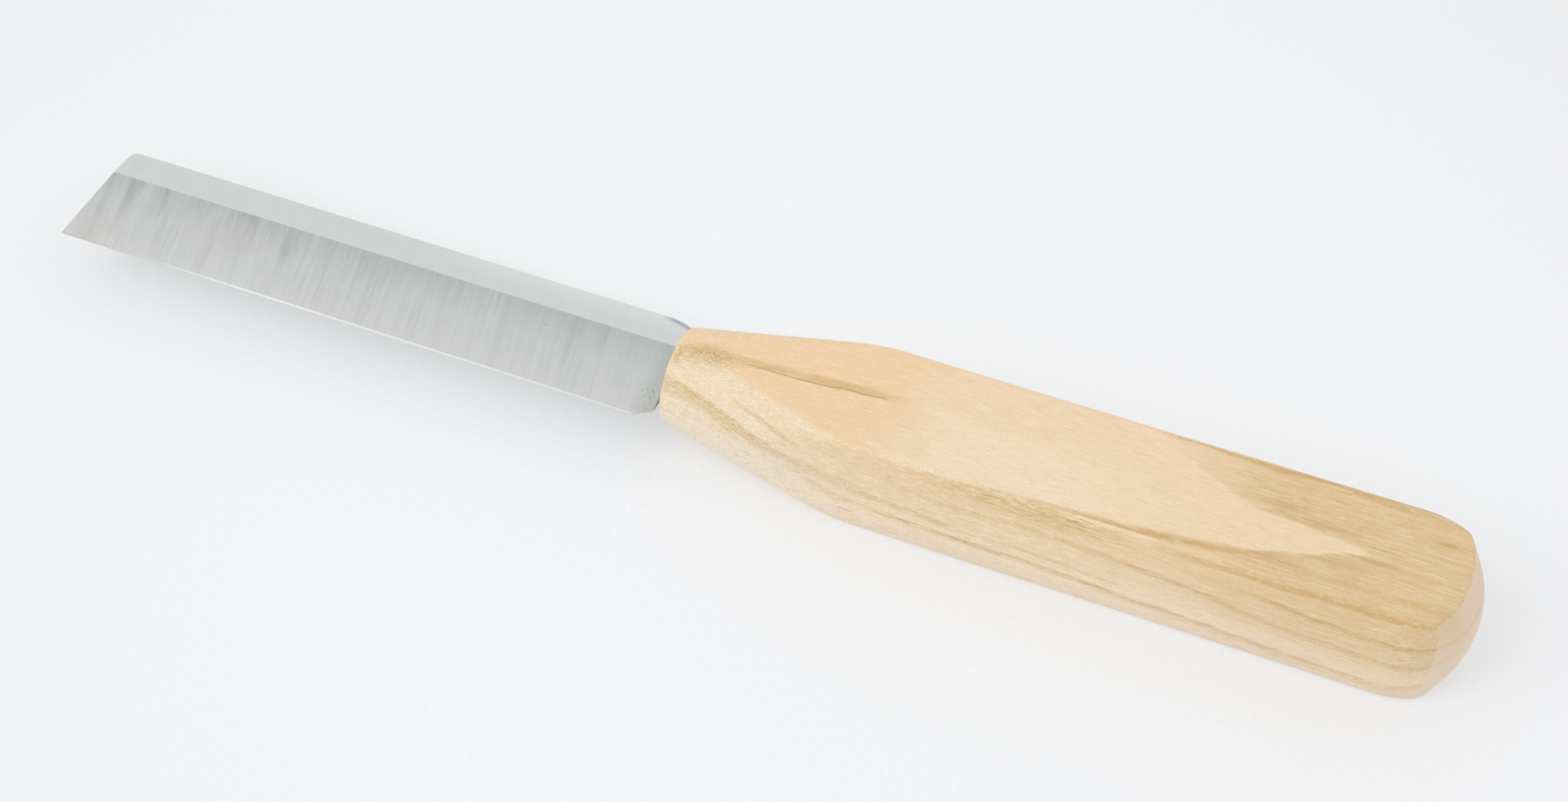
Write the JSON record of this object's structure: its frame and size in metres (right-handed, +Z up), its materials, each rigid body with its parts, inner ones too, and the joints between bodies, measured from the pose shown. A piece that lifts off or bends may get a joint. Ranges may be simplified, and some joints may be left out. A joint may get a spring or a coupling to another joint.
{
  "type": "chip carving knife",
  "caption": "Chip carving knife with a straight double-ground steel blade, a slanted tip and a one-piece wooden handle with flat sides and a turned neck.",
  "frame": {"origin": "middle of the bounding box, on the surface that the flat underside of the handle rests on", "axes": "+X from the blade's tip to the handle's butt, +Y from the cutting edge to the spine, +Z up through the handle's thickness"},
  "size_m": [0.22, 0.02, 0.0182],
  "materials": {
    "blade_steel": "satin, ground",
    "handle_wood": "sanded and oiled",
    "cured_epoxy": "cured glue"
  },
  "bodies": {
    "root": {"blade": "blade_steel", "handle": "handle_wood", "tang_adhesive": "cured_epoxy"}
  },
  "joints": []
}
